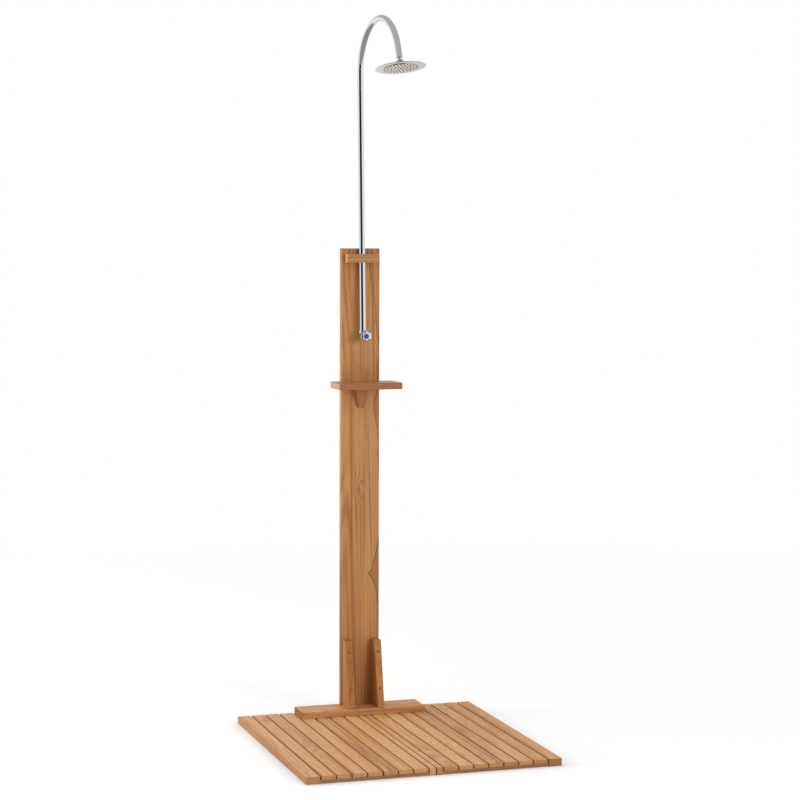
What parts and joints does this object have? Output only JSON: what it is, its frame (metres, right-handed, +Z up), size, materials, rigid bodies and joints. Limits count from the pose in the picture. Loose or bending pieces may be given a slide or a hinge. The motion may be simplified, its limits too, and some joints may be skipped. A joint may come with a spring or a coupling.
{
  "type": "outdoor shower post",
  "caption": "Free-standing teak shower post on a slatted tray, with a shelf, a lobed stop valve, a gooseneck riser and a round tilting head.",
  "frame": {"origin": "centre of the tray's underside, on the middle link plate's lower face", "axes": "+Z up, +Y to the back where the post stands, +X to the right seen from the front; the user stands on the tray facing +Y"},
  "size_m": [0.75, 0.812, 2.1456],
  "materials": {
    "teak_tray": "oiled, lightly weathered",
    "teak_post": "oiled",
    "chrome": "polished",
    "blue_cap": "gloss",
    "spray_face": "satin",
    "nozzle_rubber": "matt",
    "brass": "machined",
    "link_steel": "brushed"
  },
  "bodies": {
    "base": {"foot_board": "teak_tray", "gusset_left": "teak_post", "gusset_right": "teak_post", "inlet_locknut": "brass", "panel_link_plates": "link_steel", "post": "teak_post", "riser_block": "teak_post", "riser_tube": "chrome", "shelf": "teak_post", "shelf_bracket": "teak_post", "tray_border_left": "teak_tray", "tray_border_right": "teak_tray", "tray_centre_rail_left": "teak_tray", "tray_centre_rail_right": "teak_tray", "tray_runner_left_back": "teak_tray", "tray_runner_left_front": "teak_tray", "tray_runner_left_middle": "teak_tray", "tray_runner_right_back": "teak_tray", "tray_runner_right_front": "teak_tray", "tray_runner_right_middle": "teak_tray", "tray_slat_01": "teak_tray", "tray_slat_02": "teak_tray", "tray_slat_03": "teak_tray", "tray_slat_04": "teak_tray", "tray_slat_05": "teak_tray", "tray_slat_06": "teak_tray", "tray_slat_07": "teak_tray", "tray_slat_08": "teak_tray", "tray_slat_09": "teak_tray", "tray_slat_10": "teak_tray", "tray_slat_11": "teak_tray", "tray_slat_12": "teak_tray", "tray_slat_13": "teak_tray", "tray_slat_14": "teak_tray", "valve_body": "chrome", "valve_bonnet": "brass"},
    "knob": {"valve_knob": "chrome", "knob_index_cap": "blue_cap", "valve_spindle": "brass"},
    "swivel": {"swivel_ring": "chrome"},
    "head": {"collar_nut": "chrome", "head_shell": "chrome", "face_plate": "spray_face", "spray_nozzles": "nozzle_rubber"}
  },
  "joints": [
    {"name": "valve_turn", "type": "hinge", "parent": "base", "child": "knob", "pos_m": [0.0085, 0.3175, 1.186], "axis": [0, -1, 0], "range_deg": [0, 90]},
    {"name": "head_swivel", "type": "hinge", "parent": "base", "child": "swivel", "pos_m": [0.03618, 0.07129, 1.99822], "axis": [-0.0285, 0.3571, 0.9336], "continuous": true},
    {"name": "head_tilt", "type": "hinge", "parent": "swivel", "child": "head", "pos_m": [0.03618, 0.07129, 1.99822], "axis": [0.9918, -0.1065, 0.071], "range_deg": [-30, 9]}
  ]
}
